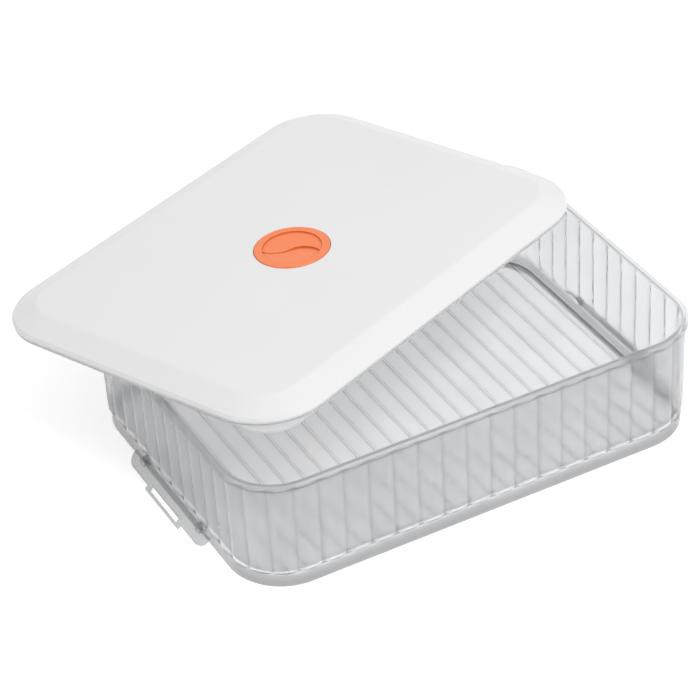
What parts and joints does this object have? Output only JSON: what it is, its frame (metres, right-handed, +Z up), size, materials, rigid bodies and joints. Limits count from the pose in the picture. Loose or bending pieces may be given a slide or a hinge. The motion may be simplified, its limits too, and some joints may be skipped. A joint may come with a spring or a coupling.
{
  "type": "food proofing container",
  "caption": "Clear ribbed food box with a white bevelled lid set askew on it, a turning orange vent in the lid and a hinged stacking clip low on each short side",
  "frame": {"origin": "middle of the bottom of the box round the whole part with its lid askew, on the plane that the tray stands on; the tray's own middle is at x 18.2 mm, y -64.5 mm", "axes": "+Z up, +X along the tray's long side to the right, -Y the long front side"},
  "size_m": [0.3928, 0.385, 0.1044],
  "materials": {
    "clear_plastic": "clear, polished",
    "clip_plastic": "clear, polished",
    "white_plastic": "satin",
    "seal_plastic": "translucent, satin",
    "gasket_rubber": "matte silicone",
    "orange_plastic": "satin"
  },
  "bodies": {
    "tray_body": {"tray": "clear_plastic"},
    "lid_body": {"lid_cover": "white_plastic", "lid_seal": "seal_plastic", "vent_gasket": "gasket_rubber"},
    "dial_body": {"vent_dial": "orange_plastic", "vent_retainer": "orange_plastic"},
    "clip_left_body": {"clip_left": "clip_plastic"},
    "clip_right_body": {"clip_right": "clip_plastic"}
  },
  "joints": [
    {"name": "lid_lift", "type": "slide", "parent": "tray_body", "child": "lid_body", "axis": [0, 0, 1], "range_m": [0, 0.15]},
    {"name": "dial_turn", "type": "hinge", "parent": "lid_body", "child": "dial_body", "pos_m": [-0.00719, 0.02118, 0.0977], "axis": [-0.0213, 0.0566, 0.9982], "range_deg": [0, 60]},
    {"name": "clip_left_hinge", "type": "hinge", "parent": "tray_body", "child": "clip_left_body", "pos_m": [-0.15096, -0.07253, 0.0105], "axis": [0, 1, 0], "range_deg": [-6, 120]},
    {"name": "clip_right_hinge", "type": "hinge", "parent": "tray_body", "child": "clip_right_body", "pos_m": [0.18744, -0.07253, 0.0105], "axis": [0, -1, 0], "range_deg": [-6, 120]}
  ]
}
